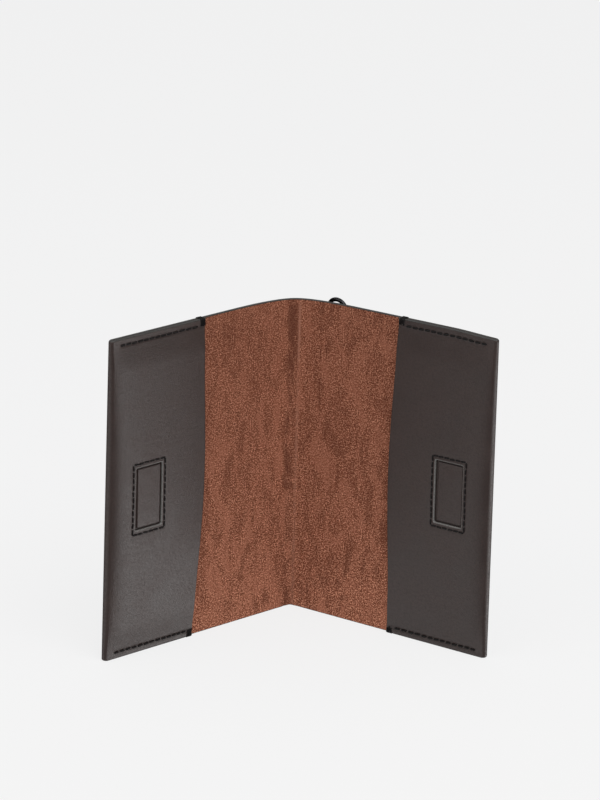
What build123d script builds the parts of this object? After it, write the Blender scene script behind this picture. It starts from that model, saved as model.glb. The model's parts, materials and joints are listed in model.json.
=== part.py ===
from build123d import *
import os
from math import cos, radians, sin

os.makedirs("parts", exist_ok=True)

# A leather passport holder that stands on its bottom edges, open like a book.
# Frame: +Z up, the spine at the back (+Y), the two covers reaching forward (-Y).
# The origin is the middle of the spine's bottom edge. Millimetres.

# ---- driving dimensions -------------------------------------------------------
height = 140.0            # along the spine
cover_width = 95.0        # from a hinge line to the outer side edge
spine_width = 8.7         # between the two hinge lines
flap_width = 48.0         # pocket flap, from its free edge to the outer side edge
leather = 1.2             # outer leather
suede = 0.6               # suede lining
open_angle = 104.0        # between the two covers as the holder stands
crease_gap = 0.15         # from a hinge line to the stiff leather on either side

pocket_lift = 2.7         # room under the flap at its middle
pocket_mouth = 1.0        # how far the pocket's room runs past the flap's free edge
seam_margin = 4.4         # flat border where the flap is sewn down
ramp_up = 12.0            # the flap rises over this height from each seam
ramp_side = 6.2           # and over this width from the side fold
fold_flat = 2.0           # flat strip beside the side fold

window_width = 13.0
window_height = 27.2
window_corner = 0.9
window_from_edge = 19.2   # centre of the window from the outer side edge
window_drop = 0.2         # centre of the window below mid-height
window_play = 0.2         # between the window's edge and the raised facing

facing_width = 18.6
facing_height = 33.0
facing_leather = 0.5
facing_rise = 0.6         # how far the facing stands up into the window
magnet_width = 11.2
magnet_height = 25.4
magnet_thickness = 1.0
magnet_play = 0.1
backing_thickness = 0.8
backing_floor = 0.4       # leather left under the magnet

stitch_pitch = 3.0
stitch_length = 2.4
stitch_width = 0.5
stitch_proud = 0.2        # height of the thread above the leather
seam_inset = 2.8          # seam line from the top or bottom edge
seam_from_fold = 4.5      # seam's end from the outer side edge
box_stitch_width = 16.4
box_stitch_height = 30.8
box_stitch_pitch = 2.8
tack_length = 4.0         # thread bar at the flap's free edge
tack_width = 1.4
tack_inset = 1.5
seam_from_tack = 1.0

ring_wire = 1.8           # wire diameter of the D-ring
ring_half_width = 4.2     # to the middle of the wire
ring_corner = 1.3
ring_leg = 1.5            # straight leg below the round arch
ring_above = 1.7          # the ring's top above the holder's top edge
ring_from_hinge = 13.9
ring_lean = 9.0           # degrees, towards the cover
tab_leather = 1.0
tab_width = 5.6
tab_loop_play = 0.1
tab_length = 16.0         # below the ring's bar
tab_loop_side = 0.6       # straight part of the loop below the bar's middle
tab_join = 6.0            # where the two layers meet, below the bar's middle
tab_stitch_spread = 3.6   # between the tab's two rows of thread
tab_stitch_inset = 0.6

# ---- derived places -----------------------------------------------------------
bend = 90.0 - open_angle / 2          # each cover's bend from flat
hinge_x = spine_width / 2
hinge_y = -(leather + suede) / 2      # the hinge lines lie on the suede's face
back_level = -(leather + suede)       # outer face of a cover, from its suede face
fold_radius = (2 * leather + suede) / 2
fold_inner = fold_radius - leather
fold_start = cover_width - fold_radius
flap_edge = cover_width - flap_width
window_u = cover_width - window_from_edge
window_z = height / 2 - window_drop
SIDES = {"left": -1, "right": 1}


def outward(side):
    """Unit vector from a hinge line towards the cover's outer edge."""
    return Vector(side * cos(radians(bend)), -sin(radians(bend)), 0)


def inward(side):
    """Unit normal of a cover's suede face, towards the other cover."""
    return Vector(-side * sin(radians(bend)), -cos(radians(bend)), 0)


def cover_plane(side, level=0.0):
    """Plane parallel to a cover: x from the hinge outwards, y up, level above the suede."""
    hinge = Vector(side * hinge_x, hinge_y, 0)
    return Plane(origin=hinge + inward(side) * level, x_dir=outward(side), z_dir=inward(side) * side)


def save(piece, node):
    """Label a finished piece and write its STEP file."""
    piece.part.label = node
    export_step(piece.part, f"parts/{node}.step")


def area(u_from, u_to, z_from, z_to):
    """Rectangle on a cover plane, given by its limits."""
    with Locations(((u_from + u_to) / 2, (z_from + z_to) / 2)):
        Rectangle(u_to - u_from, z_to - z_from)


def window_area(width, tall, corner):
    """Rounded rectangle about the window's centre, on a cover plane."""
    with Locations((window_u, window_z)):
        RectangleRounded(width, tall, corner)


def stitch_row(places, rotation=0):
    """One slot-shaped stitch at each place of the sketch."""
    with Locations(*places):
        SlotOverall(stitch_length, stitch_width, rotation=rotation)


def evenly(start, end, pitch):
    """Stitch centres between two ends, about one pitch apart."""
    count = max(1, round((end - start) / pitch))
    step = (end - start) / count
    return [start + step * (i + 0.5) for i in range(count)]


# ---- the covers ---------------------------------------------------------------
def make_cover(side, name):
    """Outer leather, side fold, pocket flap and suede lining of one cover."""
    with BuildPart() as cover_panel:
        with BuildSketch(cover_plane(side, back_level)):
            area(crease_gap, fold_start, 0, height)
        extrude(amount=side * leather)
    save(cover_panel, f"{name}_cover_panel")

    with BuildPart() as suede_lining:
        with BuildSketch(cover_plane(side, -suede)):
            area(crease_gap, fold_start, 0, height)
        extrude(amount=side * suede)
    save(suede_lining, f"{name}_suede_lining")

    # The leather turns round the lining's end in a half circle.
    fold_centre = Vector(side * hinge_x, hinge_y, 0) + outward(side) * fold_start
    fold_centre = fold_centre + inward(side) * (-suede / 2)
    with BuildPart() as side_fold:
        with BuildSketch(Plane(origin=fold_centre, x_dir=outward(side), z_dir=(0, 0, 1))):
            Circle(fold_radius)
            Circle(fold_inner, mode=Mode.SUBTRACT)
            with Locations((-fold_radius, 0)):
                Rectangle(2 * fold_radius, 2 * fold_radius, mode=Mode.SUBTRACT)
        extrude(amount=height)
    save(side_fold, f"{name}_side_fold")

    # The flap is flat where it is sewn down and lifts off the lining between.
    ramp_foot = fold_start - fold_flat
    ramp_top = ramp_foot - ramp_side
    low, high = seam_margin, height - seam_margin
    with BuildPart() as pocket_flap:
        with BuildSketch(cover_plane(side)):
            area(flap_edge, fold_start, 0, height)
        extrude(amount=side * leather)
        with BuildSketch(cover_plane(side, leather)):
            area(flap_edge, ramp_foot, low, high)
        with BuildSketch(cover_plane(side, leather + pocket_lift)):
            area(flap_edge, ramp_top, low + ramp_up, high - ramp_up)
        loft()
        with BuildSketch(cover_plane(side)):
            area(flap_edge - pocket_mouth, ramp_foot, low, high)
        with BuildSketch(cover_plane(side, pocket_lift)):
            area(flap_edge - pocket_mouth, ramp_top, low + ramp_up, high - ramp_up)
        loft(mode=Mode.SUBTRACT)
        with BuildSketch(cover_plane(side, pocket_lift)):
            window_area(window_width, window_height, window_corner)
        extrude(amount=side * leather, mode=Mode.SUBTRACT)
    save(pocket_flap, f"{name}_pocket_flap")


# ---- the magnets behind the windows -------------------------------------------
def make_magnet(side, name):
    """Facing seen in the window, the magnet in it and the backing under it."""
    facing_level = pocket_lift - facing_leather
    with BuildPart() as magnet_facing:
        with BuildSketch(cover_plane(side, facing_level)):
            window_area(facing_width, facing_height, window_corner)
        extrude(amount=side * facing_leather)
        with BuildSketch(cover_plane(side, pocket_lift)):
            window_area(window_width - 2 * window_play, window_height - 2 * window_play, window_corner)
        extrude(amount=side * facing_rise)
        with BuildSketch(cover_plane(side, facing_level)):
            window_area(magnet_width + 2 * magnet_play, magnet_height + 2 * magnet_play, window_corner)
        extrude(amount=side * facing_rise, mode=Mode.SUBTRACT)
    save(magnet_facing, f"{name}_magnet_facing")

    magnet_level = facing_level + facing_rise - magnet_thickness
    with BuildPart() as magnet:
        with BuildSketch(cover_plane(side, magnet_level)):
            window_area(magnet_width, magnet_height, window_corner)
        extrude(amount=side * magnet_thickness)
    save(magnet, f"{name}_magnet")

    backing_level = facing_level - backing_thickness
    with BuildPart() as magnet_backing:
        with BuildSketch(cover_plane(side, backing_level)):
            window_area(facing_width, facing_height, window_corner)
        extrude(amount=side * backing_thickness)
        with BuildSketch(cover_plane(side, backing_level + backing_floor)):
            window_area(magnet_width + 2 * magnet_play, magnet_height + 2 * magnet_play, window_corner)
        extrude(amount=side * backing_thickness, mode=Mode.SUBTRACT)
    save(magnet_backing, f"{name}_magnet_backing")

    # Thread round the window, on the flap's face and under the backing.
    columns = [window_u - box_stitch_width / 2, window_u + box_stitch_width / 2]
    rows = [window_z - box_stitch_height / 2, window_z + box_stitch_height / 2]
    across = evenly(*columns, box_stitch_pitch)
    upward = evenly(*rows, box_stitch_pitch)
    level_places = [(u, z) for z in rows for u in across]
    upright_places = [(u, z) for u in columns for z in upward]
    with BuildPart() as box_stitch:
        with BuildSketch(cover_plane(side, leather + pocket_lift)):
            stitch_row(level_places)
            stitch_row(upright_places, rotation=90)
        extrude(amount=side * stitch_proud)
        with BuildSketch(cover_plane(side, backing_level)):
            stitch_row(level_places)
            stitch_row(upright_places, rotation=90)
        extrude(amount=-side * stitch_proud)
    save(box_stitch, f"{name}_box_stitch")


# ---- the seams ----------------------------------------------------------------
def make_seam(side, name, where):
    """Stitches along the top or bottom edge, on both faces, with a tack at the flap's edge."""
    seam_z = height - seam_inset if where == "top" else seam_inset
    tack_z = height - tack_length / 2 if where == "top" else tack_length / 2
    tack_u = flap_edge + tack_inset
    seam_run = evenly(tack_u + seam_from_tack, cover_width - seam_from_fold, stitch_pitch)
    places = [(u, seam_z) for u in seam_run]
    with BuildPart() as seam:
        for level, direction in ((leather, side), (back_level, -side)):
            with BuildSketch(cover_plane(side, level)):
                stitch_row(places)
                with Locations((tack_u, tack_z)):
                    Rectangle(tack_width, tack_length)
            extrude(amount=direction * stitch_proud)
        if where == "top":
            # The tack's thread passes over the top edge, from one face to the other.
            with BuildSketch(Plane.XY.offset(height)):
                middle = (leather + back_level) / 2
                spot = cover_plane(side, middle).from_local_coords(Vector(tack_u, 0, 0))
                with Locations((spot.X, spot.Y)):
                    depth = leather - back_level + 2 * stitch_proud
                    Rectangle(tack_width, depth, rotation=-side * bend)
            extrude(amount=stitch_proud)
    save(seam, f"{name}_{where}_seam")


for name, side in SIDES.items():
    make_cover(side, name)
    make_magnet(side, name)
    make_seam(side, name, "top")
    make_seam(side, name, "bottom")

# ---- the spine ----------------------------------------------------------------
strip_width = spine_width - 2 * crease_gap
with BuildPart() as spine_leather:
    with BuildSketch(Plane.XY):
        with Locations((0, hinge_y + suede + leather / 2)):
            Rectangle(strip_width, leather)
    extrude(amount=height)
save(spine_leather, "spine_leather")

with BuildPart() as spine_suede:
    with BuildSketch(Plane.XY):
        with Locations((0, hinge_y + suede / 2)):
            Rectangle(strip_width, suede)
    extrude(amount=height)
save(spine_suede, "spine_suede")

# Each crease is the leather and lining that bend between the spine and a cover.
for name, side in SIDES.items():
    hinge = Vector(side * hinge_x, hinge_y, 0)
    spine_inner = hinge + Vector(-side * crease_gap, 0, 0)
    spine_outer = spine_inner + Vector(0, -back_level, 0)
    cover_inner = hinge + outward(side) * crease_gap
    cover_outer = cover_inner + inward(side) * back_level
    half_bend = radians(bend / 2)
    bisector = Vector(side * sin(half_bend), cos(half_bend), 0)
    crest = hinge + bisector * -back_level
    with BuildPart() as spine_crease:
        with BuildSketch(Plane.XY):
            with BuildLine():
                Line(spine_inner, spine_outer)
                ThreePointArc(spine_outer, crest, cover_outer)
                Line(cover_outer, cover_inner)
                Line(cover_inner, spine_inner)
            make_face()
        extrude(amount=height)
    save(spine_crease, f"{name}_spine_crease")

# ---- the D-ring and its tab, on the back of the right cover ---------------------
ring_height = ring_leg + ring_half_width
bar_z = height + ring_above - ring_wire / 2 - ring_height * cos(radians(ring_lean))
loop_inner = ring_wire / 2 + tab_loop_play
loop_outer = loop_inner + tab_leather
bar_plane = cover_plane(1, back_level - loop_outer)
bar_middle = bar_plane.from_local_coords(Vector(ring_from_hinge, bar_z, 0))
ring_up = Vector(0, 0, cos(radians(ring_lean))) + inward(1) * sin(radians(ring_lean))
ring_plane = Plane(origin=bar_middle, x_dir=outward(1), z_dir=outward(1).cross(ring_up))

straight = ring_half_width - ring_corner
with BuildPart() as d_ring:
    with BuildLine(ring_plane) as ring_path:
        Line((0, 0), (straight, 0))
        CenterArc((straight, ring_corner), ring_corner, -90, 90)
        Line((ring_half_width, ring_corner), (ring_half_width, ring_leg))
        CenterArc((0, ring_leg), ring_half_width, 0, 180)
        Line((-ring_half_width, ring_leg), (-ring_half_width, ring_corner))
        CenterArc((-straight, ring_corner), ring_corner, 180, 90)
        Line((-straight, 0), (0, 0))
    with BuildSketch(Plane(origin=bar_middle, z_dir=outward(1))):
        Circle(ring_wire / 2)
    sweep(path=ring_path.line)
save(d_ring, "d_ring")

# The tab is one strip doubled round the ring's bar, glued to itself below, seen from its end.
tab_start = bar_middle - outward(1) * (tab_width / 2)
tab_face = tab_leather - loop_inner
with BuildPart() as ring_tab:
    with BuildSketch(Plane(origin=tab_start, x_dir=-inward(1), z_dir=outward(1))):
        with BuildLine():
            Polyline((-loop_outer, 0), (-loop_outer, -tab_length), (tab_face, -tab_length))
            Polyline((tab_face, -tab_length), (tab_face, -tab_join))
            Polyline((tab_face, -tab_join), (loop_outer, -tab_loop_side), (loop_outer, 0))
            ThreePointArc((loop_outer, 0), (0, loop_outer), (-loop_outer, 0))
        make_face()
        with BuildLine():
            Polyline((-loop_inner, 0), (-loop_inner, -tab_join), (loop_inner, -tab_loop_side))
            Line((loop_inner, -tab_loop_side), (loop_inner, 0))
            ThreePointArc((loop_inner, 0), (0, loop_inner), (-loop_inner, 0))
        make_face(mode=Mode.SUBTRACT)
    extrude(amount=tab_width)
save(ring_tab, "ring_tab")

# Two short rows of thread hold the tab to the outer leather, under the lining.
tab_rows = [ring_from_hinge - tab_stitch_spread / 2, ring_from_hinge + tab_stitch_spread / 2]
tab_rise = evenly(bar_z - tab_length + tab_stitch_inset, bar_z - tab_join - tab_stitch_inset, stitch_pitch)
with BuildPart() as ring_tab_stitch:
    with BuildSketch(cover_plane(1, back_level - 2 * tab_leather)):
        stitch_row([(u, z) for u in tab_rows for z in tab_rise], rotation=90)
    extrude(amount=-stitch_proud)
save(ring_tab_stitch, "ring_tab_stitch")
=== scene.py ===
import json
import math
import random

import bpy
import numpy as np
from mathutils import Matrix, Vector

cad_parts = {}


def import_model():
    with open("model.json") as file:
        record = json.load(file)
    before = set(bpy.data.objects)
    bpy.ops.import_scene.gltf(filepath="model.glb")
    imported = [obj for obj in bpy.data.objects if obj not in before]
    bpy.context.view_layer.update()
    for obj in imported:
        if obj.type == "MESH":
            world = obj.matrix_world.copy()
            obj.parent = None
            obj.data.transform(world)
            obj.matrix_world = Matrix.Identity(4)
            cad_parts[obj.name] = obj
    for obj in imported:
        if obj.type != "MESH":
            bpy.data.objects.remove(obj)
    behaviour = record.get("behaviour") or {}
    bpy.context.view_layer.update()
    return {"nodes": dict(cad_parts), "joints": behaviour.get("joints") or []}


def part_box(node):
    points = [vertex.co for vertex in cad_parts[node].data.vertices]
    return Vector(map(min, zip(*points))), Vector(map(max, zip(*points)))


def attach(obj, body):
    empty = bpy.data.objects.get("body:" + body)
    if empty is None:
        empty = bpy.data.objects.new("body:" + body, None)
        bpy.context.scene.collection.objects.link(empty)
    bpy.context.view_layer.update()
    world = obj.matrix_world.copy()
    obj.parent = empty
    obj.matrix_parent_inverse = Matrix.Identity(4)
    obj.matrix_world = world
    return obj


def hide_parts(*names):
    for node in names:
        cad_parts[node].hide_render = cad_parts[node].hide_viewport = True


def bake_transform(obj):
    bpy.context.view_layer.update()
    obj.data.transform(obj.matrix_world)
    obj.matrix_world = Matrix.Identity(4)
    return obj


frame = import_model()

# A leather passport holder standing open on its bottom edges. Lengths are in millimetres in
# the shape code, and become metres where a mesh is made.
MM = 0.001
random.seed(7)

# ---- sizes read from the frame --------------------------------------------------
joints = {joint["name"]: joint for joint in frame["joints"]}
HINGE_X, HINGE_Y = (value / MM for value in joints["right_cover_fold"]["pos_m"][:2])
BEND = -math.radians(joints["right_cover_fold"]["range_deg"][0])


def span(node, axis):
    """Size of a CAD node along one row axis, in millimetres."""
    low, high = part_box(node)
    return (high[axis] - low[axis]) / MM


HEIGHT = span("spine_leather", 2)
LEATHER = span("spine_leather", 1)
SUEDE = span("spine_suede", 1)
TURN = (LEATHER + SUEDE) / 2           # the side fold's radius at mid-leather
FOLD_OUTER = TURN + LEATHER / 2
fold_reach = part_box("right_side_fold")[1].x / MM - HINGE_X - FOLD_OUTER
FOLD_START = (fold_reach - SUEDE / 2 * math.sin(BEND)) / math.cos(BEND)

# ---- sizes shared with the CAD parts ----------------------------------------------
FLAP_EDGE = 47.0
LIFT = 2.7                             # room under the flap
SEAM_INSET = 2.8
WINDOW_U, WINDOW_Z = 75.8, HEIGHT / 2 - 0.2
WINDOW_HALF = (6.8, 13.7)
WINDOW_CORNER = 0.9
STITCH_BOX = (8.2, 15.4)               # half sizes of the thread rectangle
FACING_HALF = (9.3, 16.5)

# ---- what the real leather does between its stiff parts -----------------------------
TWIST = {-1: (-1.5, 0.75), 1: (0.35, 0.0)}   # degrees that a cover closes by, at foot and top
SPINE_SAG = (-2.8, 2.5)                # the spine's middle leans in by this much at foot and top
BEND_REACH = (3.4, 22.0)               # the bend's reach into a cover, at foot and top
FLAP_CURVE = {                         # free edge at five heights, from the foot up
    -1: (2.5, 1.3, -0.7, -0.8, -2.3),
    1: (-2.1, -0.9, -1.5, -0.5, 0.0),
}
EDGE_SHIFT = {-1: (1.0, -0.2), 1: (-0.8, -0.8)}   # outer side edge at foot and top
CORNER = 0.9                           # radius of the outer corners at foot and top
CORNER_RUN = 6.0                       # how far in from the side fold a corner draws the edge
TOP_DIP = {-1: 0.0, 1: 0.75}           # how far the top edge drops at its outer corner
DIP_INSIDE, DIP_RUN = 22.0, 24.0       # where that drop begins inside the side fold, its width
DIP_DEPTH = 30.0                       # height over which it fades out below the top edge
WAVE_END = WINDOW_U - 10               # the free edge's wave has died out here
ARCH_RUN = 66.0                        # height over which a flap rises from its seam
ARCH_STEEP = 13.0                      # height of the steeper rise beside the seam
ARCH_SHARE = 0.36                      # part of the lift reached in that steeper rise
ARCH_FOOT = 3.4                        # the rise begins this far from the foot or top edge
STEEP_LEAD = 2.0                       # how much nearer the edge the steeper part begins
ROUND = 9.0                            # width over which it rounds over into the side fold


def smooth(value):
    """Smooth step from 0 to 1."""
    value = np.clip(value, 0, 1)
    return value * value * (3 - 2 * value)


# ---- the fold's shape ---------------------------------------------------------------
def book(side, q, n, z):
    """World point at q along the suede face from the spine's middle, n above that face."""
    q, n, z = np.broadcast_arrays(*(np.asarray(a, float) for a in (q, n, z)))
    share = np.clip(z / HEIGHT, 0, 1)
    bend = BEND + np.radians(TWIST[side][0] + (TWIST[side][1] - TWIST[side][0]) * share)
    sag = SPINE_SAG[0] + (SPINE_SAG[1] - SPINE_SAG[0]) * share
    first = HINGE_X + sag / np.tan(bend)
    second = BEND_REACH[0] + (BEND_REACH[1] - BEND_REACH[0]) * smooth(share)
    reach = HINGE_X + sag / np.sin(bend) + second
    part = np.clip(q / reach, 0, 1) * (first + second)
    t = part / (first + np.sqrt(first**2 + (second - first) * part))
    over = np.maximum(q - reach, 0)
    x = 2 * t * (1 - t) * first + t * t * (first + second * np.cos(bend)) + over * np.cos(bend)
    y = HINGE_Y - sag - (t * t * second + over) * np.sin(bend)
    tx = (1 - t) * first + t * second * np.cos(bend)
    ty = -t * second * np.sin(bend)
    size = np.hypot(tx, ty)
    tx, ty = tx / size, ty / size
    outward = smooth((q - HINGE_X - FOLD_START + DIP_INSIDE) / DIP_RUN)
    z = z - TOP_DIP[side] * outward * smooth((z - HEIGHT + DIP_DEPTH) / DIP_DEPTH)
    return np.stack([side * (x + n * ty), y - n * tx, z], -1)


def on_cover(side, u, z, n):
    """World point at u from the hinge line and n above the suede face."""
    return book(side, HINGE_X + np.asarray(u, float), n, z)


def lift(u, z):
    """Height of the pocket flap above its sewn-down place, rounding over at the side fold."""
    from_end = np.minimum(z, HEIGHT - z)
    arch = (1 - ARCH_SHARE) * np.sin(np.clip((from_end - ARCH_FOOT) / ARCH_RUN, 0, 1) * math.pi / 2)
    arch = arch + ARCH_SHARE * smooth((from_end - ARCH_FOOT + STEEP_LEAD) / ARCH_STEEP)
    over = np.clip((FOLD_START + TURN - u) / ROUND, 0, 1)
    return LIFT * arch * np.sqrt(over * (2 - over))


PANEL_END = HINGE_X + FOLD_START
FOLD_END = PANEL_END + math.pi * TURN


def flap_s(u):
    """Place along the outer leather of a point of the flap, u from the hinge line."""
    return FOLD_END + FOLD_START - np.asarray(u, float)


def outer(side, s, z, h):
    """World point of the outer leather: s along it from the spine, h towards its grain side."""
    s, z, h = np.broadcast_arrays(*(np.asarray(a, float) for a in (s, z, h)))
    flat = np.where(s <= PANEL_END, s - HINGE_X, FOLD_START)
    flat = np.where(s >= FOLD_END, FOLD_START - (s - FOLD_END), flat)
    from_end = np.clip(np.minimum(z, HEIGHT - z), 0, CORNER)
    corner = CORNER - np.sqrt(CORNER**2 - (CORNER - from_end) ** 2)
    foot, top = EDGE_SHIFT[side]
    share = z / HEIGHT
    over_pocket = np.clip((flat - FLAP_EDGE) / (FOLD_START - FLAP_EDGE), 0, 1)
    shift = (foot + (top - foot) * share) * over_pocket
    shift = shift - corner * smooth((flat - FOLD_START + CORNER_RUN) / CORNER_RUN)
    curve = np.polyval(np.polyfit(np.linspace(0, 1, 5), FLAP_CURVE[side], 4), share)
    wave = curve * smooth((WAVE_END - flat) / (WAVE_END - FLAP_EDGE)) * (s >= FOLD_END)
    turn = np.clip((s - PANEL_END) / TURN, 0, math.pi)
    u = flat + shift + wave + (TURN + h) * np.sin(turn)
    raised = np.where(turn > math.pi / 2, lift(flat + TURN * np.sin(turn), z), 0)
    n = -SUEDE / 2 - (TURN + h) * np.cos(turn) + raised
    return on_cover(side, u, z, n)


# ---- mesh building ------------------------------------------------------------------
def lines(*spans):
    """Grid lines through several spans, each given by its ends and a step."""
    values = []
    for start, end, step in spans:
        count = max(1, round(abs(end - start) / step))
        values.extend(np.linspace(start, end, count, endpoint=False))
    values.append(spans[-1][1])
    return np.array(values)


RIM = (0.0, 0.05, 0.16, 0.36)          # grid lines beside a cut edge
RIM_RADIUS = RIM[-1]
WINDOW_RINGS = (0.9, 0.6, *reversed(RIM))   # rings of quads round the window, from outside in


def both_rims(start, end, step):
    """Grid lines from one cut edge to the other, with the rim lines at both ends."""
    inner = lines((start + RIM[-1], end, step))
    inner = inner[inner < end - RIM[-1] - 1e-6]
    return np.concatenate([[start + r for r in RIM[:-1]], inner, [end - r for r in reversed(RIM)]])


def rounded(distance, thickness, radius=RIM_RADIUS):
    """Half the thickness of leather at a distance from its cut edge."""
    radius = min(radius, thickness / 2)
    inset = np.clip(radius - distance, 0, radius)
    return thickness / 2 - radius + np.sqrt(radius**2 - inset**2)


class Flat:
    """A flat cut of leather or suede: points, their distance from a cut edge, and quads."""

    def __init__(self, across, upward, hole=None, cut=(True, True, True, True)):
        grid_s, grid_z = np.meshgrid(across, upward, indexing="ij")
        far = 1e3                          # a side that isn't cut is never near
        gaps = [
            grid_s - across[0] if cut[0] else far,
            across[-1] - grid_s if cut[1] else far,
            grid_z - upward[0] if cut[2] else far,
            upward[-1] - grid_z if cut[3] else far,
        ]
        distance = np.minimum.reduce([np.broadcast_to(g, grid_s.shape) for g in gaps])
        self.points = np.stack([grid_s.ravel(), grid_z.ravel()], -1)
        self.edge = distance.ravel().copy()
        self.around = np.zeros(len(self.edge), bool)     # points of the window's rings
        rows = len(upward)
        index = np.arange(len(across) * rows).reshape(len(across), rows)
        keep = np.ones((len(across) - 1, rows - 1), bool)
        if hole:
            i0, i1, j0, j1 = hole["block"]
            keep[i0:i1, j0:j1] = False
        a, b = index[:-1, :-1][keep], index[1:, :-1][keep]
        c, d = index[1:, 1:][keep], index[:-1, 1:][keep]
        self.quads = np.stack([a, b, c, d], -1)
        if hole:
            self.add_window(index, hole)
        self.drop_unused()

    def add_window(self, index, hole):
        """Rings of quads from the block's border to the window's rounded edge."""
        i0, i1, j0, j1 = hole["block"]
        border = np.concatenate([
            index[i0:i1, j0], index[i1, j0:j1], index[i1:i0:-1, j1], index[i0, j1:j0:-1],
        ])
        start = self.points[border]
        centre, half, corner = hole["centre"], np.array(hole["half"]), hole["corner"]
        local = start - centre
        core = np.clip(local, -(half - corner), half - corner)
        away = local - core
        target = centre + core + away / np.linalg.norm(away, axis=1)[:, None] * corner
        margin = hole["margin"]
        ring = border
        for gap in WINDOW_RINGS:
            first = len(self.points)
            place = target + (start - target) * min(1.0, gap / margin)
            self.points = np.concatenate([self.points, place])
            self.edge = np.concatenate([self.edge, np.full(len(place), gap)])
            self.around = np.concatenate([self.around, np.ones(len(place), bool)])
            new = first + np.arange(len(place))
            quads = np.stack([ring, np.roll(ring, -1), np.roll(new, -1), new], -1)
            self.quads = np.concatenate([self.quads, quads])
            ring = new

    def drop_unused(self):
        used = np.unique(self.quads)
        new = np.full(len(self.points), -1)
        new[used] = np.arange(len(used))
        self.points, self.edge, self.around = self.points[used], self.edge[used], self.around[used]
        self.quads = new[self.quads]

    def rim(self):
        """Directed edges that belong to one quad only."""
        a = self.quads.ravel()
        b = np.roll(self.quads, -1, axis=1).ravel()
        there = set(zip(a.tolist(), b.tolist()))
        return np.array([(p, q) for p, q in there if (q, p) not in there])


def make_mesh(name, verts, faces, slots=None, uv=None, materials=()):
    """Mesh object from points in millimetres, smooth shaded, normals outwards."""
    mesh = bpy.data.meshes.new(name)
    faces = np.asarray(faces)
    mesh.from_pydata((np.asarray(verts) * MM).tolist(), [], faces.tolist())
    for material in materials:
        mesh.materials.append(material)
    mesh.polygons.foreach_set("use_smooth", [True] * len(mesh.polygons))
    if slots is not None:
        mesh.polygons.foreach_set("material_index", np.asarray(slots, np.int32))
    if uv is not None:
        layer = mesh.uv_layers.new(name="flat")
        layer.data.foreach_set("uv", (np.asarray(uv)[faces.ravel()] * MM).ravel())
    mesh.validate()
    mesh.update()
    piece = bpy.data.objects.new(name, mesh)
    bpy.context.scene.collection.objects.link(piece)
    return piece


def solid_sheet(name, flat, side, place, thickness, materials, radius=RIM_RADIUS, relief=None):
    """Closed solid of a flat cut: place(across, up, height) puts both faces, the rim joins them.
    Slot 0 is the front, 1 the cut edge, 2 the back, and the last one a window's cut edge."""
    half = rounded(flat.edge, thickness, radius)
    front_half = half - (relief(flat.points) if relief else 0)
    count = len(flat.points)
    front = place(flat.points[:, 0], flat.points[:, 1], front_half)
    back = place(flat.points[:, 0], flat.points[:, 1], -half)
    verts = np.concatenate([front, back])
    rim = flat.rim()
    sides = np.stack([rim[:, 1], rim[:, 0], rim[:, 0] + count, rim[:, 1] + count], -1)
    faces = np.concatenate([flat.quads, flat.quads[:, ::-1] + count, sides])
    if side > 0:
        faces = faces[:, ::-1]
    at_edge = flat.edge[flat.quads].max(1) < RIM[-1] + 0.01
    last = len(materials) - 1
    rim_slot = np.where(flat.around[flat.quads].all(1), last, 1)
    front_slot, back_slot = np.where(at_edge, rim_slot, 0), np.where(at_edge, rim_slot, 2)
    slots = np.concatenate([front_slot, back_slot, np.where(flat.around[rim].all(1), last, 1)])
    uv = flat.points * (side, 1)
    return make_mesh(name, verts, faces, slots, np.concatenate([uv, uv]), materials)


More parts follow.
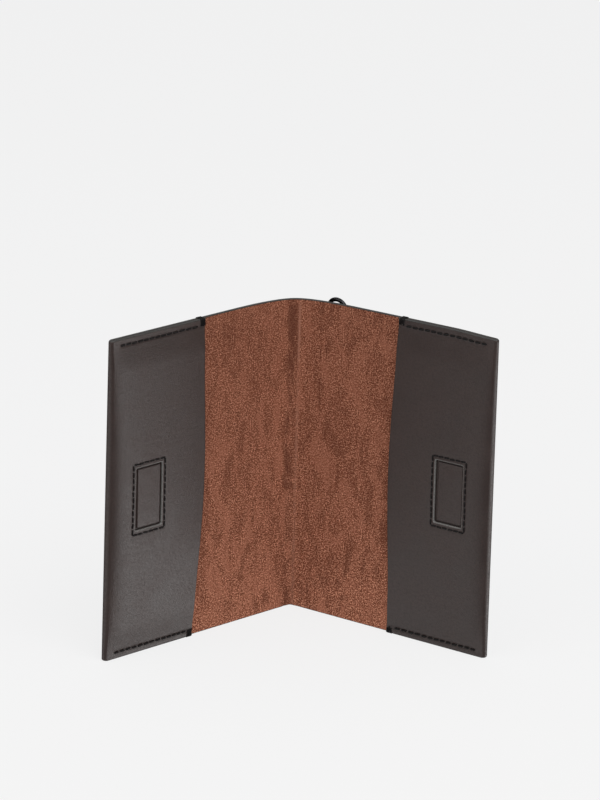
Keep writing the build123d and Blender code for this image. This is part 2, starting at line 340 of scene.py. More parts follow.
# ---- materials ----------------------------------------------------------------------
class Nodes:
    """Short helpers for one material's node tree."""

    def __init__(self, name):
        self.material = bpy.data.materials.new(name)
        self.material.use_nodes = True
        self.tree = self.material.node_tree
        self.shader = self.tree.nodes["Principled BSDF"]

    def plug(self, socket, value):
        """Link a socket to another node's output, or set it to a number, vector or colour."""
        if isinstance(value, bpy.types.NodeSocket):
            self.tree.links.new(value, socket)
        else:
            socket.default_value = (*value, 1) if socket.type == "RGBA" else value

    def add(self, kind, values=(), **settings):
        node = self.tree.nodes.new(kind)
        for key, value in settings.items():
            setattr(node, key, value)
        for key, value in dict(values).items():
            self.plug(node.inputs[key], value)
        return node

    def noise(self, vector, size_mm, detail=2.0, rough=0.5, distortion=0.0):
        values = {"Vector": vector, "Scale": 1 / (size_mm * MM), "Detail": detail,
                  "Roughness": rough, "Distortion": distortion}
        return self.add("ShaderNodeTexNoise", values).outputs["Fac"]

    def ramp(self, value, *stops):
        node = self.add("ShaderNodeValToRGB", {"Fac": value})
        elements = node.color_ramp.elements
        while len(elements) < len(stops):
            elements.new(0.5)
        for element, (at, colour) in zip(elements, stops):
            element.position = at
            element.color = (*colour, 1)
        return node.outputs["Color"]

    def mix(self, factor, a, b):
        """Blend of two colours. A colour mix has its factor at 0 and its colours at 6 and 7."""
        values = {0: factor, 6: a, 7: b}
        return self.add("ShaderNodeMix", values, data_type="RGBA").outputs[2]

    def math(self, operation, a, b=0.0):
        return self.add("ShaderNodeMath", {0: a, 1: b}, operation=operation).outputs[0]

    def fit(self, value, low, high, new_low, new_high):
        values = {"Value": value, "From Min": low, "From Max": high,
                  "To Min": new_low, "To Max": new_high}
        return self.add("ShaderNodeMapRange", values).outputs["Result"]

    def bump(self, height, depth_mm, strength=1.0, normal=None):
        values = {"Height": height, "Distance": depth_mm * MM, "Strength": strength}
        if normal:
            values["Normal"] = normal
        return self.add("ShaderNodeBump", values).outputs["Normal"]

    def flat(self):
        """The piece's own flat coordinates, so that a pattern stays on it as it bends."""
        return self.add("ShaderNodeUVMap", uv_map="flat").outputs["UV"]

    def place(self):
        return self.add("ShaderNodeTexCoord").outputs["Object"]

    def finish(self, **inputs):
        """Set the shader's sockets by name, with _ for a space, and hand over the material."""
        for key, value in inputs.items():
            self.plug(self.shader.inputs[key.replace("_", " ")], value)
        return self.material


def leather_material(name, dark, light, roughness):
    """Smooth fine-grained leather: pores and creases in the bump, cloudy dye in the colour."""
    nodes = Nodes(name)
    where = nodes.flat()
    cloud = nodes.noise(where, 14, detail=4, rough=0.6)
    fleck = nodes.noise(where, 1.0, detail=3, rough=0.6)
    colour = nodes.ramp(cloud, (0.3, dark), (0.7, light))
    colour = nodes.mix(nodes.fit(fleck, 0.45, 0.65, 0, 0.5), colour, tuple(c * 0.55 for c in dark))
    pores = {"Vector": where, "Scale": 1 / (0.7 * MM), "Randomness": 1.0}
    cells = nodes.add("ShaderNodeTexVoronoi", pores, feature="DISTANCE_TO_EDGE").outputs["Distance"]
    grain = nodes.fit(cells, 0.0, 0.14, 0, 1)
    wrinkle = nodes.noise(where, 2.4, detail=5, rough=0.65, distortion=0.4)
    normal = nodes.bump(wrinkle, 0.12, 0.75)
    normal = nodes.bump(grain, 0.035, 0.7, normal)
    shine = nodes.math("ADD", nodes.fit(cloud, 0.3, 0.7, roughness - 0.04, roughness + 0.04),
                       nodes.fit(fleck, 0.3, 0.7, -0.05, 0.06))
    return nodes.finish(Base_Color=colour, Roughness=shine, Normal=normal, Specular_IOR_Level=0.9)


def edge_material(name, dark, light, roughness):
    """Painted cut edge: burnished paint with fine runs along it."""
    nodes = Nodes(name)
    where = nodes.place()
    runs = nodes.noise(where, 0.5, detail=3)
    colour = nodes.ramp(runs, (0.35, dark), (0.7, light))
    normal = nodes.bump(runs, 0.03, 0.5)
    polish = nodes.fit(runs, 0.3, 0.7, roughness, roughness + 0.15)
    return nodes.finish(Base_Color=colour, Roughness=polish, Normal=normal)


def flesh_material():
    """Back of the leather, inside the pockets: short brown fibres."""
    nodes = Nodes("flesh_side")
    where = nodes.flat()
    fibre = nodes.noise(where, 0.35, detail=4, rough=0.7)
    colour = nodes.ramp(fibre, (0.3, (0.05, 0.028, 0.02)), (0.7, (0.11, 0.06, 0.042)))
    return nodes.finish(Base_Color=colour, Roughness=0.95, Normal=nodes.bump(fibre, 0.08, 0.7))


def suede_material():
    """Brushed suede: speckled nap, soft brushed clouds, painted shade towards the top, and a
    painted highlight on the spine's ridge with a painted shade band beside it.
    """
    nodes = Nodes("suede")
    where = nodes.flat()

    def drawn_out(share):
        """Flat coordinates drawn out along the spine, as the nap is brushed."""
        values = {"Vector": where, "Scale": (1.0, share, 1.0)}
        return nodes.add("ShaderNodeMapping", values).outputs["Vector"]

    speckle = nodes.noise(where, 0.60, detail=1.5, rough=0.8, distortion=0.2)
    nap = nodes.noise(where, 3.0, detail=5, rough=0.75, distortion=0.9)
    cloud = nodes.noise(drawn_out(0.4), 9, detail=5, rough=0.65, distortion=1.2)
    streak = nodes.noise(drawn_out(0.12), 2.2, detail=3, rough=0.6, distortion=0.3)
    colour = nodes.ramp(speckle, (0.36, (0.092, 0.024, 0.012)), (0.5, (0.262, 0.084, 0.046)),
                        (0.63, (0.80, 0.370, 0.230)))
    colour = nodes.mix(nodes.fit(nap, 0.47, 0.66, 0, 0.32), colour, (0.10, 0.029, 0.015))
    colour = nodes.mix(nodes.fit(streak, 0.5, 0.68, 0, 0.30), colour, (0.12, 0.035, 0.018))
    colour = nodes.mix(nodes.fit(cloud, 0.50, 0.36, 0, 0.46), colour, (0.11, 0.032, 0.017))
    colour = nodes.mix(nodes.fit(cloud, 0.50, 0.64, 0, 0.52), colour, (0.42, 0.162, 0.098))
    # The flat coordinates, in metres, run across the spine and up it. Painted shade darkens the
    # suede upwards; a painted highlight runs along the spine's ridge, and a painted shade band
    # beside it, broken up by the nap.
    parts = nodes.add("ShaderNodeSeparateXYZ", {"Vector": where})
    up, top = parts.outputs["Y"], HEIGHT * MM
    # Painted shade: the suede is mixed darker towards the top.
    colour = nodes.mix(nodes.fit(up, 0.01, top, 0, 0.34), colour, (0.12, 0.036, 0.019))
    drift = nodes.math("MULTIPLY", nodes.math("SUBTRACT", nap, 0.5), 0.0016)
    across = nodes.math("ADD", parts.outputs["X"], drift)
    # Patchy mask that breaks up the painted highlight and the painted shade at the spine.
    light_patchiness = nodes.fit(cloud, 0.38, 0.58, 0.65, 0.1)
    ridge_line = nodes.fit(up, 0, top, 0.0009, 0.0022)
    ridge = nodes.math("ABSOLUTE", nodes.math("SUBTRACT", across, ridge_line))
    ridge = nodes.math("MULTIPLY", nodes.fit(ridge, 0.0002, 0.0009, 1, 0), light_patchiness)
    # Painted highlight where the spine's ridge catches light.
    colour = nodes.mix(ridge, colour, (0.42, 0.19, 0.125))
    # Painted shade band beside the ridge, where the curve turns away from the light.
    shade_band = nodes.math("ABSOLUTE", nodes.math("ADD", across, 0.0014))
    shade_band = nodes.math("MULTIPLY", nodes.fit(shade_band, 0.0008, 0.0036, 0.8, 0), light_patchiness)
    colour = nodes.mix(shade_band, colour, (0.095, 0.03, 0.017))
    normal = nodes.bump(nap, 0.16, 0.6)
    normal = nodes.bump(speckle, 0.2, 0.9, normal)
    return nodes.finish(Base_Color=colour, Roughness=0.95, Normal=normal, Sheen_Weight=0.12,
                        Sheen_Roughness=0.5, Sheen_Tint=(0.7, 0.45, 0.35), Specular_IOR_Level=0.15)


def thread_material():
    """Black waxed thread, with the twist of its plies."""
    nodes = Nodes("thread")
    where = nodes.place()
    ply = nodes.noise(where, 0.25, detail=3)
    colour = nodes.ramp(ply, (0.3, (0.002, 0.002, 0.002)), (0.75, (0.012, 0.010, 0.010)))
    return nodes.finish(Base_Color=colour, Roughness=0.65, Normal=nodes.bump(ply, 0.04, 0.6),
                        Specular_IOR_Level=0.3)


def metal_material(name, colour, roughness):
    """Plated metal with faint scuffs."""
    nodes = Nodes(name)
    scuff = nodes.noise(nodes.place(), 1.6, detail=6, rough=0.7, distortion=1.0)
    tint = nodes.ramp(scuff, (0.3, colour), (0.8, tuple(c * 1.5 for c in colour)))
    return nodes.finish(Base_Color=tint, Metallic=1.0, Normal=nodes.bump(scuff, 0.004, 0.3),
                        Roughness=nodes.fit(scuff, 0.3, 0.8, roughness, roughness + 0.12))


leather = leather_material("leather", (0.025, 0.0125, 0.0098), (0.036, 0.0195, 0.0160), 0.42)
edge_paint = edge_material("edge_paint", (0.026, 0.020, 0.017), (0.046, 0.038, 0.033), 0.45)
# Dark grey edge paint, made lighter than the lining's edge paint as a painted highlight where the
# top edges catch light from above.
cut_edge_paint_and_highlight = edge_material("cut_edge_paint_and_highlight", (0.034, 0.032, 0.030), (0.064, 0.061, 0.057), 0.42)
# Painted highlight: the window's cut edge is coloured light grey where its bevel catches light,
# though its edge paint is dark.
window_edge_highlight = edge_material("window_edge_highlight", (0.13, 0.125, 0.12), (0.22, 0.21, 0.20), 0.28)
flesh = flesh_material()
suede = suede_material()
thread = thread_material()
ring_metal = metal_material("ring_metal", (0.028, 0.028, 0.03), 0.06)
magnet_metal = metal_material("magnet_metal", (0.55, 0.55, 0.57), 0.22)


# ---- the outer leather, from the spine round to the flap's free edge -------------------
SEAM_PULL, BOX_PULL = 0.22, 0.14       # how deep the seam and the window's thread press in
CENTRE_LINE = 0.04                     # first grid line beside the join of the two halves
BEND_END = 24.0                        # finer grid lines up to here, where the leather bends


def near_line(distance, width):
    """1 on a line, falling to 0 within about twice the width."""
    return np.exp(-((distance / width) ** 2))


def stitched(points):
    """How deep the threads pull the grain side in, at points (s, z) of the outer leather."""
    s, z = points[:, 0], points[:, 1]
    flap_u = FOLD_START - (s - FOLD_END)
    u = np.where(s >= FOLD_END, flap_u, s - HINGE_X)
    from_end = np.minimum(z, HEIGHT - z)
    in_seam = smooth((u - FLAP_EDGE) / 2) * smooth((FOLD_START - 2.5 - u) / 2)
    depth = SEAM_PULL * near_line(from_end - SEAM_INSET, 0.7) * in_seam
    du, dz = np.abs(u - WINDOW_U), np.abs(z - WINDOW_Z)
    outside = np.maximum(du - STITCH_BOX[0], dz - STITCH_BOX[1])
    return depth + BOX_PULL * near_line(outside, 0.5) * (s >= FOLD_END)


def outer_leather(side, name):
    """One half of the outer leather, from the spine's middle over its crease round to the flap's
    free edge.
    """
    margin, stitch = 1.4, 1.2          # window to its grid block, and the thread's finer lines
    block_u, block_z = WINDOW_HALF[0] + margin, WINDOW_HALF[1] + margin
    s0, s1 = flap_s(WINDOW_U + block_u), flap_s(WINDOW_U - block_u)
    free = flap_s(FLAP_EDGE)
    across = np.concatenate([
        lines((0, CENTRE_LINE, CENTRE_LINE), (CENTRE_LINE, 1, 0.24), (1, BEND_END, 0.75),
              (BEND_END, PANEL_END - 2, 1.3), (PANEL_END - 2, PANEL_END, 0.4),
              (PANEL_END, FOLD_END, 0.15), (FOLD_END, s0 - stitch, 0.5), (s0 - stitch, s0, 0.25),
              (s0, s1, 0.8), (s1, s1 + stitch, 0.25), (s1 + stitch, free - 1, 1.2),
              (free - 1, free - RIM[-1], 0.4)),
        [free - r for r in reversed(RIM[:-1])],
    ])
    z0, z1 = WINDOW_Z - block_z, WINDOW_Z + block_z
    upward = np.concatenate([
        RIM[:-1],
        lines((RIM[-1], 5, 0.3), (5, z0 - stitch, 1.5), (z0 - stitch, z0, 0.25), (z0, z1, 1.0),
              (z1, z1 + stitch, 0.25), (z1 + stitch, HEIGHT - 5, 1.5),
              (HEIGHT - 5, HEIGHT - RIM[-1], 0.3)),
        [HEIGHT - r for r in reversed(RIM[:-1])],
    ])
    block = (int(np.argmin(abs(across - s0))), int(np.argmin(abs(across - s1))),
             int(np.argmin(abs(upward - z0))), int(np.argmin(abs(upward - z1))))
    hole = {"block": block, "centre": np.array([float(flap_s(WINDOW_U)), WINDOW_Z]),
            "half": WINDOW_HALF, "corner": WINDOW_CORNER, "margin": margin}
    flat = Flat(across, upward, hole, cut=(False, True, True, True))
    piece = solid_sheet(f"outer_leather_{name}", flat, side, lambda s, z, h: outer(side, s, z, h),
                        LEATHER, (leather, cut_edge_paint_and_highlight, flesh, window_edge_highlight), relief=stitched)
    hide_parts(f"{name}_cover_panel", f"{name}_side_fold", f"{name}_pocket_flap",
                f"{name}_spine_crease", "spine_leather")
    blend_over_crease(piece)
    return piece


def blend_over_crease(piece):
    """Bake the piece's placement into its mesh."""
    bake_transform(piece)


# ---- the suede lining -----------------------------------------------------------------
PRESSED = {-1: (-0.12, 2.4, 0.6), 1: (0.16, 1.7, 0.45)}   # crease line: height, place, width


def suede_lining(side, name):
    """Lining of one cover and half the spine, with the crease line pressed in it."""
    height, middle, width = PRESSED[side]

    def place(q, z, h):
        nap = 0.03 * np.sin(q * 2.3 + 1.7 * np.sin(z * 0.31)) * np.sin(z * 1.1 + q)
        ridge = height * near_line(q - middle, width)
        return book(side, q, h - SUEDE / 2 + np.where(h > 0, nap + ridge, 0), z)

    across = lines((0, CENTRE_LINE, CENTRE_LINE), (CENTRE_LINE, 4, 0.2), (4, BEND_END, 0.6),
                   (BEND_END, PANEL_END - 0.4, 1.2))
    upward = np.concatenate([
        [0, 0.05, 0.12],
        lines((0.25, 3, 0.5), (3, HEIGHT - 3, 1.2), (HEIGHT - 3, HEIGHT - 0.25, 0.5)),
        [HEIGHT - 0.12, HEIGHT - 0.05, HEIGHT],
    ])
    flat = Flat(across, upward, cut=(False, True, True, True))
    piece = solid_sheet(f"suede_lining_{name}", flat, side, place, SUEDE,
                        (suede, edge_paint, flesh), radius=0.2)
    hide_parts(f"{name}_suede_lining", "spine_suede")
    blend_over_crease(piece)
    return piece


# ---- threads ----------------------------------------------------------------------------
STITCH_PROUD, STITCH_SINK = 0.12, 0.45   # a stitch's middle above the leather, its ends below
STITCH_PLIES = 2.5                     # turns of the plies in one stitch


def wander(reach):
    """Random offset of up to reach either way."""
    return random.uniform(-reach, reach)


class Threads:
    """Collects thread tubes into one mesh."""

    def __init__(self):
        self.verts, self.faces, self.count = [], [], 0

    def tube(self, rings):
        """Closed tube from rings of points, an array (rings, sides, 3), with domed ends."""
        length, sides = rings.shape[:2]
        base = self.count
        self.verts.append(rings.reshape(-1, 3))
        ends = np.stack([rings[0].mean(0), rings[-1].mean(0)])
        self.verts.append(ends)
        self.count += length * sides + 2
        index = base + np.arange(length * sides).reshape(length, sides)
        turned = np.roll(index, -1, axis=1)
        quads = np.stack([index[:-1], turned[:-1], turned[1:], index[1:]], -1)
        self.faces += quads.reshape(-1, 4).tolist()
        first, last = base + length * sides, base + length * sides + 1
        self.faces += [[first, b, a] for a, b in zip(index[0], turned[0])]
        self.faces += [[last, a, b] for a, b in zip(index[-1], turned[-1])]

    def stitch(self, place, along, up, tilt, length=2.75, radius=0.33):
        """One stitch on a surface: place(along, up, height) is a point of space over it."""
        sides, steps = 10, 13
        t = np.linspace(0, 1, steps)[:, None]
        angle = np.linspace(0, 2 * math.pi, sides, endpoint=False)[None, :]
        run = (t - 0.5) * length
        rise = STITCH_PROUD - (STITCH_PROUD + STITCH_SINK) * np.abs(2 * t - 1) ** 5
        twist = 1 + 0.13 * np.cos(2 * angle - 2 * math.pi * STITCH_PLIES * t)
        width = radius * twist * (1 - 0.35 * np.abs(2 * t - 1) ** 6)
        sideways = width * np.cos(angle)
        height = rise + width * np.sin(angle)
        x = along + run * math.cos(tilt) - sideways * math.sin(tilt)
        y = up + run * math.sin(tilt) + sideways * math.cos(tilt)
        self.tube(place(x, y, height))

    def build(self, name):
        """One object of all the tubes, with its normals turned outwards."""
        verts = np.concatenate(self.verts)
        mesh = bpy.data.meshes.new(name)
        mesh.from_pydata((verts * MM).tolist(), [], [[int(i) for i in f] for f in self.faces])
        mesh.materials.append(thread)
        mesh.polygons.foreach_set("use_smooth", [True] * len(mesh.polygons))
        mesh.validate()
        piece = bpy.data.objects.new(name, mesh)
        bpy.context.scene.collection.objects.link(piece)
        bpy.context.view_layer.objects.active = piece
        piece.select_set(True)
        bpy.ops.object.mode_set(mode="EDIT")
        bpy.ops.mesh.select_all(action="SELECT")
        bpy.ops.mesh.normals_make_consistent(inside=False)
        bpy.ops.object.mode_set(mode="OBJECT")
        piece.select_set(False)
        return piece


def evenly(start, end, pitch):
    """Middles of stitches spread evenly from start to end, at about the given pitch."""
    count = max(1, round((end - start) / pitch))
    step = (end - start) / count
    return [start + step * (i + 0.5) for i in range(count)]


def flap_face(side):
    """Place on the grain side of a flap: u from the hinge line, z up, height above the leather."""
    return lambda u, z, height: outer(side, flap_s(u), z, LEATHER / 2 + height)


def back_face(side):
    """Place on the outside of a cover."""
    return lambda u, z, height: outer(side, HINGE_X + u, z, LEATHER / 2 + height)


SEAM_START, SEAM_END = FLAP_EDGE + 3.6, FOLD_START - 3.0
STITCH_PITCH = 3.0
TACK_THREADS, TACK_SPACING = 4, 0.66
TACK_RADIUS, TACK_PROUD = 0.24, 0.14   # thread radius, and its middle above the leather
TACK_REACH = {-1: 3.3, 1: 2.6}         # how far a tack comes down from the edge
BOX_PITCH, BOX_LENGTH, BOX_RADIUS = 2.75, 2.65, 0.29   # stitches round the window
BACKING_DROP = 1.3                     # from the flap's inner face to the backing's far face


def seam(side, name, where):
    """Stitches through cover and flap, and the thread tack over the edge at the flap's end."""
    threads = Threads()
    line = HEIGHT - SEAM_INSET if where == "top" else SEAM_INSET
    for u in evenly(SEAM_START, SEAM_END, STITCH_PITCH):
        for face in (flap_face(side), back_face(side)):
            threads.stitch(face, u + wander(0.08), line + wander(0.08),
                           tilt=side * 0.06 + wander(0.05))
    first = FLAP_EDGE + FLAP_CURVE[side][-1 if where == "top" else 0] + 0.7
    for i in range(TACK_THREADS):
        tack(threads, side, first + i * TACK_SPACING, where, random.uniform(-0.45, 0.3))
    piece = threads.build(f"{where}_seam_{name}")
    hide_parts(f"{name}_{where}_seam")
    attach(piece, f"{name}_cover")


def tack(threads, side, u, where, slack):
    """One thread from the back of the cover over its edge to the flap's face."""
    reach = TACK_REACH[side] + slack
    front, back = LEATHER + TACK_PROUD, -(SUEDE + LEATHER) - TACK_PROUD
    crest = TACK_PROUD if where == "top" else -0.10    # pressed flat where the holder stands
    points = np.array([
        (back + 0.6, -reach - 0.1), (back + 0.1, -reach + 0.15), (back, -reach + 0.5),
        (back, -1.2), (back, -0.5), (back + 0.12, -0.1), (back + 0.45, crest),
        (-0.3, crest + 0.02), (front - 0.45, crest), (front - 0.12, -0.1), (front, -0.5),
        (front, -1.2), (front, -reach + 0.5), (front - 0.1, -reach + 0.15),
        (front - 0.6, -reach - 0.1),
    ])
    tangent = np.gradient(points, axis=0)
    tangent /= np.linalg.norm(tangent, axis=1)[:, None]
    normal = np.stack([-tangent[:, 1], tangent[:, 0]], -1)
    angle = np.linspace(0, 2 * math.pi, 10, endpoint=False)
    twist = np.arange(len(points))[:, None] * 0.9
    width = TACK_RADIUS * (1 + 0.12 * np.cos(2 * angle[None, :] - twist))
    n = points[:, :1] + normal[:, :1] * width * np.sin(angle)
    rise = points[:, 1:] + normal[:, 1:] * width * np.sin(angle)
    z = HEIGHT + rise if where == "top" else -rise
    lean = 0.10 * (rise + 2)
    threads.tube(on_cover(side, u + lean + width * np.cos(angle), z, n))


def box_stitch(side, name):
    """Thread rectangle round the window, with slightly uneven stitches."""
    threads = Threads()
    face = flap_face(side)

    def under(u, z, height):
        return on_cover(side, u, z, lift(u, z) - BACKING_DROP - height)

    for sign in (-1, 1):
        for u in evenly(WINDOW_U - STITCH_BOX[0], WINDOW_U + STITCH_BOX[0], BOX_PITCH):
            z = WINDOW_Z + sign * STITCH_BOX[1]
            for place in (face, under):
                threads.stitch(place, u + wander(0.1), z + wander(0.12), tilt=wander(0.09),
                               length=BOX_LENGTH, radius=BOX_RADIUS)
        for z in evenly(WINDOW_Z - STITCH_BOX[1], WINDOW_Z + STITCH_BOX[1], BOX_PITCH):
            u = WINDOW_U + sign * STITCH_BOX[0]
            for place in (face, under):
                threads.stitch(place, u + wander(0.12), z + wander(0.1),
                               tilt=math.pi / 2 + wander(0.10),
                               length=BOX_LENGTH, radius=BOX_RADIUS)
    piece = threads.build(f"box_stitch_{name}")
    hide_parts(f"{name}_box_stitch")
    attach(piece, f"{name}_cover")


# ---- the facing in the window and its backing ---------------------------------------------
def facing_lines(reach, half):
    """Grid lines across the facing, close together at its raised shoulders."""
    return lines((-reach, -half - 0.3, 0.8), (-half - 0.3, -half + 1.0, 0.1),
                 (-half + 1.0, half - 1.0, 0.9), (half - 1.0, half + 0.3, 0.1),
                 (half + 0.3, reach, 0.8))


def window_cut(half, step):
    """Rectangular cut centred on the window, from its half sizes and grid steps."""
    return Flat(*(both_rims(middle - reach, middle + reach, pitch)
                  for middle, reach, pitch in zip((WINDOW_U, WINDOW_Z), half, step)))


def facing(side, name):
    """Leather facing that fills the window over the magnet, a little below the flap's face."""
    gap, shoulder, rise_to = 0.72, 0.5, 0.75
    half = (WINDOW_HALF[0] - gap, WINDOW_HALF[1] - gap)

    def place(u, z, h):
        du = half[0] - np.abs(u - WINDOW_U)
        dz = half[1] - np.abs(z - WINDOW_Z)
        inner = np.minimum(du, dz)
        inner = np.where((du < shoulder) & (dz < shoulder),
                         shoulder - np.hypot(shoulder - du, shoulder - dz), inner)
        rise = rise_to * np.sqrt(np.clip(1 - (1 - np.clip(inner / shoulder, 0, 1)) ** 2, 0, 1))
        dome = 0.12 * smooth(inner / half[0])
        return on_cover(side, u, z, lift(u, z) - 0.25 + h + np.where(h > 0, rise + dome, 0))

    flat = Flat(WINDOW_U + facing_lines(FACING_HALF[0], half[0]),
                WINDOW_Z + facing_lines(FACING_HALF[1], half[1]))
    piece = solid_sheet(f"magnet_facing_{name}", flat, -side, place, 0.5,
                        (leather, edge_paint, flesh), radius=0.1)
    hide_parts(f"{name}_magnet_facing")
    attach(piece, f"{name}_cover")


def backing(side, name):
    """Suede backing under the magnet, inside the pocket."""
    thick = 0.8

    def place(u, z, h):
        return on_cover(side, u, z, lift(u, z) - BACKING_DROP + thick / 2 + h)

    piece = solid_sheet(f"magnet_backing_{name}", window_cut(FACING_HALF, (1.2, 1.2)), -side,
                        place, thick, (flesh, edge_paint, suede))
    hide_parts(f"{name}_magnet_backing")
    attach(piece, f"{name}_cover")


def magnet(side, name):
    """Thin plated magnet between the facing and its backing."""
    half, thick, drop = (5.6, 12.7), 1.0, 0.45

    def place(u, z, h):
        return on_cover(side, u, z, lift(u, z) - drop + h)

    piece = solid_sheet(f"magnet_plate_{name}", window_cut(half, (1.5, 3.0)), -side,
                        place, thick, (magnet_metal,) * 3, radius=0.2)
    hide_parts(f"{name}_magnet")
    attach(piece, f"{name}_cover")


for name, side in (("left", -1), ("right", 1)):
    outer_leather(side, name)
    suede_lining(side, name)
    seam(side, name, "top")
    seam(side, name, "bottom")
    box_stitch(side, name)
    facing(side, name)
    backing(side, name)
    magnet(side, name)

# ---- the ring's tab -----------------------------------------------------------------------
TAB_THICK, TAB_WIDTH = 1.0, 5.6
TAB_LENGTH, TAB_JOIN = 16.0, 6.3       # below the bar: the strap's end, and where it is sewn
TAB_ROW = 1.8                          # thread rows either side of the strap's middle
BACK = -(SUEDE + LEATHER)              # the cover's outside, from the suede face
bar = Vector(joints["d_ring_swing"]["pos_m"]) / MM
BAR_U = (bar.x - HINGE_X) * math.cos(BEND) + (HINGE_Y - bar.y) * math.sin(BEND)
BAR_OUT = (bar.x - HINGE_X) * math.sin(BEND) + (bar.y - HINGE_Y) * math.cos(BEND) + BACK
BAR_Z = bar.z


def behind_cover(u, z, out):
    """Point behind the right cover: follows the leather low down, and the stiff ring at its bar."""
    u, z, out = np.broadcast_arrays(*(np.asarray(a, float) for a in (u, z, out)))
    on_leather = on_cover(1, u, z, BACK - out)
    depth = BACK - out
    at_ring = np.stack([HINGE_X + u * math.cos(BEND) - depth * math.sin(BEND),
                        HINGE_Y - u * math.sin(BEND) - depth * math.cos(BEND), z], -1)
    share = smooth((z - BAR_Z + TAB_JOIN) / (TAB_JOIN - 1.5))[..., None]
    return on_leather * (1 - share) + at_ring * share


def tab_path():
    """Middle line of the strap as (out, z): up the leather, over the bar and down again."""
    radius, end = BAR_OUT - TAB_THICK / 2, BAR_Z - TAB_LENGTH
    up = np.linspace(end, BAR_Z, 40)[:-1]
    arc = np.linspace(math.pi, 0, 30)
    down = np.linspace(BAR_Z, end, 60)[1:]
    sewn = 1.5 * TAB_THICK
    near_bar = smooth((down - BAR_Z + TAB_JOIN) / TAB_JOIN)
    fall = sewn + (BAR_OUT + radius - sewn) * near_bar
    return np.concatenate([
        np.stack([np.full(len(up), TAB_THICK / 2), up], -1),
        np.stack([BAR_OUT + radius * np.cos(arc), BAR_Z + radius * np.sin(arc)], -1),
        np.stack([fall, down], -1),
    ])


def ring_tab():
    """Leather strap doubled round the ring's bar, and the two rows of thread that hold it."""
    path = tab_path()
    step = np.hypot(*np.diff(path, axis=0).T)
    length = np.concatenate([[0], np.cumsum(step)])
    tangent = np.gradient(path, length, axis=0)
    tangent /= np.hypot(*tangent.T)[:, None]

    def place(s, v, h):
        out, z = (np.interp(s, length, path[:, i]) for i in (0, 1))
        t_out, t_z = (np.interp(s, length, tangent[:, i]) for i in (0, 1))
        return behind_cover(BAR_U + v, z + h * t_out, out - h * t_z)

    flat = Flat(both_rims(0, length[-1], 0.3), both_rims(-TAB_WIDTH / 2, TAB_WIDTH / 2, 0.6))
    strap = solid_sheet("ring_strap", flat, -1, place, TAB_THICK,
                        (leather, edge_paint, flesh), radius=0.3)
    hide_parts("ring_tab")
    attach(strap, "right_cover")
    threads = Threads()

    def strap_face(u, z, height):
        return behind_cover(u, z, 2 * TAB_THICK + height)

    for u in (BAR_U - TAB_ROW, BAR_U + TAB_ROW):
        for z in evenly(BAR_Z - TAB_LENGTH + 0.6, BAR_Z - TAB_JOIN - 0.4, STITCH_PITCH):
            threads.stitch(strap_face, u, z, tilt=math.pi / 2 + wander(0.05),
                           length=2.7, radius=0.24)
    piece = threads.build("ring_strap_thread")
    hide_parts("ring_tab_stitch")
    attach(piece, "right_cover")


ring_tab()
frame["nodes"]["d_ring"].data.materials.clear()
frame["nodes"]["d_ring"].data.materials.append(ring_metal)


# ---- stage, light and camera ----------------------------------------------------------------
def stage():
    """Wide pale floor, partly self-lit like a white light table, so that shadows stay faint."""
    nodes = Nodes("floor")
    tone = nodes.noise(nodes.place(), 400, detail=2)
    colour = nodes.ramp(tone, (0.3, (0.116, 0.116, 0.12)), (0.7, (0.12, 0.12, 0.12)))
    material = nodes.finish(Base_Color=colour, Roughness=0.9, Specular_IOR_Level=0.0,
                            Emission_Color=(1.0, 1.0, 1.0), Emission_Strength=0.80)
    size = 8000
    corners = [(-size, -size, 0), (size, -size, 0), (size, size, 0), (-size, size, 0)]
    floor = make_mesh("floor", corners, [(0, 1, 2, 3)], materials=(material,))
    floor.visible_glossy = False       # reflections come from the soft surroundings instead


LAMP_SIZE, LAMP_TARGET = 1.2, Vector((0, -0.03, 0.07))


def light(name, place, power):
    """White square soft box aimed at the holder, in metres and watts."""
    data = bpy.data.lights.new(name, "AREA")
    data.shape = "SQUARE"
    data.size = LAMP_SIZE
    data.energy = power
    lamp = bpy.data.objects.new(name, data)
    lamp.location = place
    lamp.rotation_euler = (LAMP_TARGET - Vector(place)).to_track_quat("-Z", "Y").to_euler()
    bpy.context.scene.collection.objects.link(lamp)


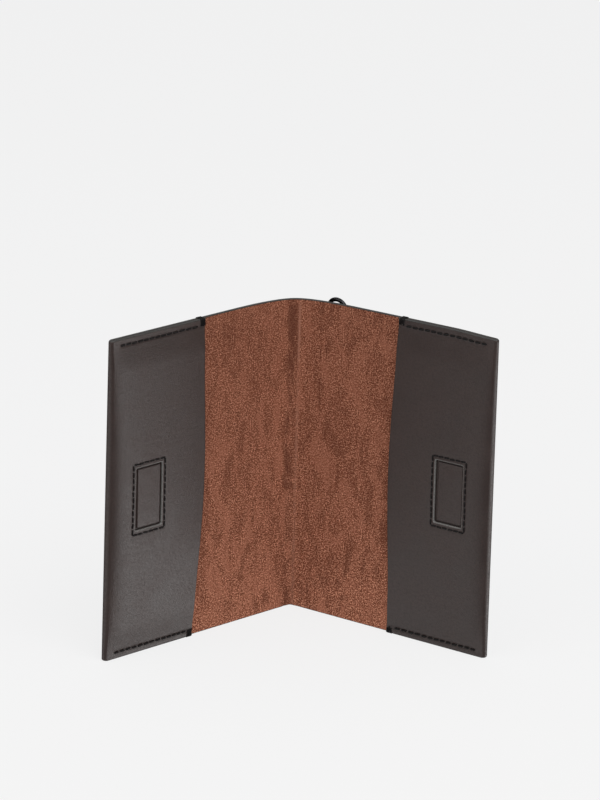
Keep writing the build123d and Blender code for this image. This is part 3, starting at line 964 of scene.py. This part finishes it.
def world():
    """Soft studio surroundings: dim at eye level and in front, a little brighter overhead, and
    brightest low at the sides, most of all at the right."""
    scene_world = bpy.data.worlds.new("studio")
    scene_world.use_nodes = True
    tree = scene_world.node_tree
    where = tree.nodes.new("ShaderNodeTexCoord").outputs["Generated"]

    def towards(direction, start, end, strength):
        dot = tree.nodes.new("ShaderNodeVectorMath")
        dot.operation = "DOT_PRODUCT"
        dot.inputs[1].default_value = direction
        level = tree.nodes.new("ShaderNodeMapRange")
        tree.links.new(where, dot.inputs[0])
        tree.links.new(dot.outputs["Value"], level.inputs["Value"])
        for socket, value in (("From Min", start), ("From Max", end), ("To Max", strength)):
            level.inputs[socket].default_value = value
        return level.outputs["Result"]

    def combine(operation, a, b):
        node = tree.nodes.new("ShaderNodeMath")
        node.operation = operation
        tree.links.new(a, node.inputs[0])
        tree.links.new(b, node.inputs[1])
        return node.outputs[0]

    down = towards((0, 0, -1), 0.10, 0.48, 1.0)
    right = combine("MULTIPLY", towards((0.985, -0.17, 0), 0.74, 0.93, 3.9), down)
    left = combine("MULTIPLY", towards((-0.95, -0.31, 0), 0.7, 0.95, 1.2), down)
    below = towards((0, 0, -1), 0.0, 0.6, 0.30)
    above = towards((0, 0, 1), 0.05, 0.9, 0.7)
    strength = combine("ADD", combine("ADD", right, left), combine("ADD", below, above))
    tree.links.new(strength, tree.nodes["Background"].inputs["Strength"])
    tree.nodes["Background"].inputs["Color"].default_value = (1, 1, 1, 1)
    bpy.context.scene.world = scene_world


def camera():
    """Long lens from the front, above and a little to the left, with a slight roll. In metres."""
    centre = Vector((0, -0.0289, HEIGHT / 2 * MM))
    distance = 1.4
    azimuth, elevation, roll = (math.radians(angle) for angle in (-4.125, 19.96, 0.96))
    aim_right, aim_up = 0.0013, 0.0322     # the aim's offset from the centre, in the picture
    back = Vector((math.sin(azimuth) * math.cos(elevation),
                   -math.cos(azimuth) * math.cos(elevation), math.sin(elevation)))
    right = Vector((math.cos(azimuth), math.sin(azimuth), 0))
    up = back.cross(right)
    rolled_right = right * math.cos(roll) + up * math.sin(roll)
    rolled_up = up * math.cos(roll) - right * math.sin(roll)
    place = centre + back * distance
    new_back = (back * distance - rolled_right * aim_right - rolled_up * aim_up).normalized()
    new_right = rolled_up.cross(new_back).normalized()
    new_up = new_back.cross(new_right)
    data = bpy.data.cameras.new("camera")
    data.sensor_width = 36.0
    data.lens = 150.76
    data.clip_start, data.clip_end = 0.05, 50
    view = bpy.data.objects.new("camera", data)
    turned = Matrix((new_right, new_up, new_back)).transposed().to_4x4()
    view.matrix_world = Matrix.Translation(place) @ turned
    bpy.context.scene.collection.objects.link(view)
    bpy.context.scene.camera = view


stage()
world()
light("key", (0.5, -1.0, 1.5), 14)
light("fill", (-1.2, -0.8, 1.2), 5)
camera()
bpy.context.scene.view_settings.view_transform = "Standard"
